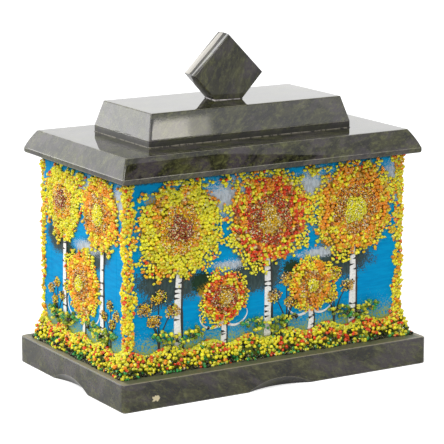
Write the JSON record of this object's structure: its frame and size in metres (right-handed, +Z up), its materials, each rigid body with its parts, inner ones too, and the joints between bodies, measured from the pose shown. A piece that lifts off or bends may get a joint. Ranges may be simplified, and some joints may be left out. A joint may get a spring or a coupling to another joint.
{
  "type": "trinket box",
  "caption": "Polished stone keepsake box with a lift-off two-tier lid, a tile knob, and flowers of crushed-stone chips in relief on painted walls.",
  "frame": {"origin": "centre of the plinth's underside", "axes": "+X along the long walls, -Y out of the front wall, +Z up through the knob"},
  "size_m": [0.16, 0.1, 0.1545],
  "materials": {
    "serpentine": "polished, mottled dark olive",
    "painted_ground": "matt blue paint on stone, with pale and dark sprayed patches",
    "felt": "dark red felt",
    "yellow_chips": "crushed stone chips, lemon yellow",
    "orange_chips": "crushed stone chips, orange",
    "red_chips": "crushed stone chips, red",
    "green_chips": "crushed stone chips, olive green",
    "mixed_chips": "crushed stone chips, mixed yellow, red, olive and black"
  },
  "bodies": {
    "box_body": {"plinth": "serpentine", "front_wall": "painted_ground", "back_wall": "painted_ground", "left_wall": "painted_ground", "right_wall": "painted_ground", "floor_lining": "felt", "front_upper_flower_1": "yellow_chips", "front_leaves_1": "green_chips", "front_upper_flower_2": "red_chips", "front_leaves_2": "green_chips", "front_upper_flower_3": "orange_chips", "front_leaves_3": "green_chips", "front_lower_flower_1": "red_chips", "front_lower_flower_2": "orange_chips", "front_foot_border": "mixed_chips", "right_upper_flower_1": "red_chips", "right_leaves_1": "green_chips", "right_upper_flower_2": "yellow_chips", "right_leaves_2": "green_chips", "right_lower_flower_1": "yellow_chips", "right_foot_border": "mixed_chips", "back_upper_flower_1": "orange_chips", "back_leaves_1": "green_chips", "back_upper_flower_2": "yellow_chips", "back_leaves_2": "green_chips", "back_upper_flower_3": "red_chips", "back_leaves_3": "green_chips", "back_lower_flower_1": "yellow_chips", "back_lower_flower_2": "red_chips", "back_foot_border": "mixed_chips", "left_upper_flower_1": "yellow_chips", "left_leaves_1": "green_chips", "left_upper_flower_2": "orange_chips", "left_leaves_2": "green_chips", "left_lower_flower_1": "orange_chips", "left_foot_border": "mixed_chips", "front_left_corner_garland": "yellow_chips", "front_right_corner_garland": "yellow_chips", "back_right_corner_garland": "yellow_chips", "back_left_corner_garland": "yellow_chips"},
    "lid": {"lid_lower_slab": "serpentine", "lid_upper_slab": "serpentine", "lid_knob": "serpentine", "lid_strip_front": "serpentine", "lid_strip_back": "serpentine", "lid_strip_left": "serpentine", "lid_strip_right": "serpentine"}
  },
  "joints": [
    {"name": "lid_lift", "type": "slide", "parent": "box_body", "child": "lid", "axis": [0, 0, 1], "range_m": [0, 0.12]}
  ]
}
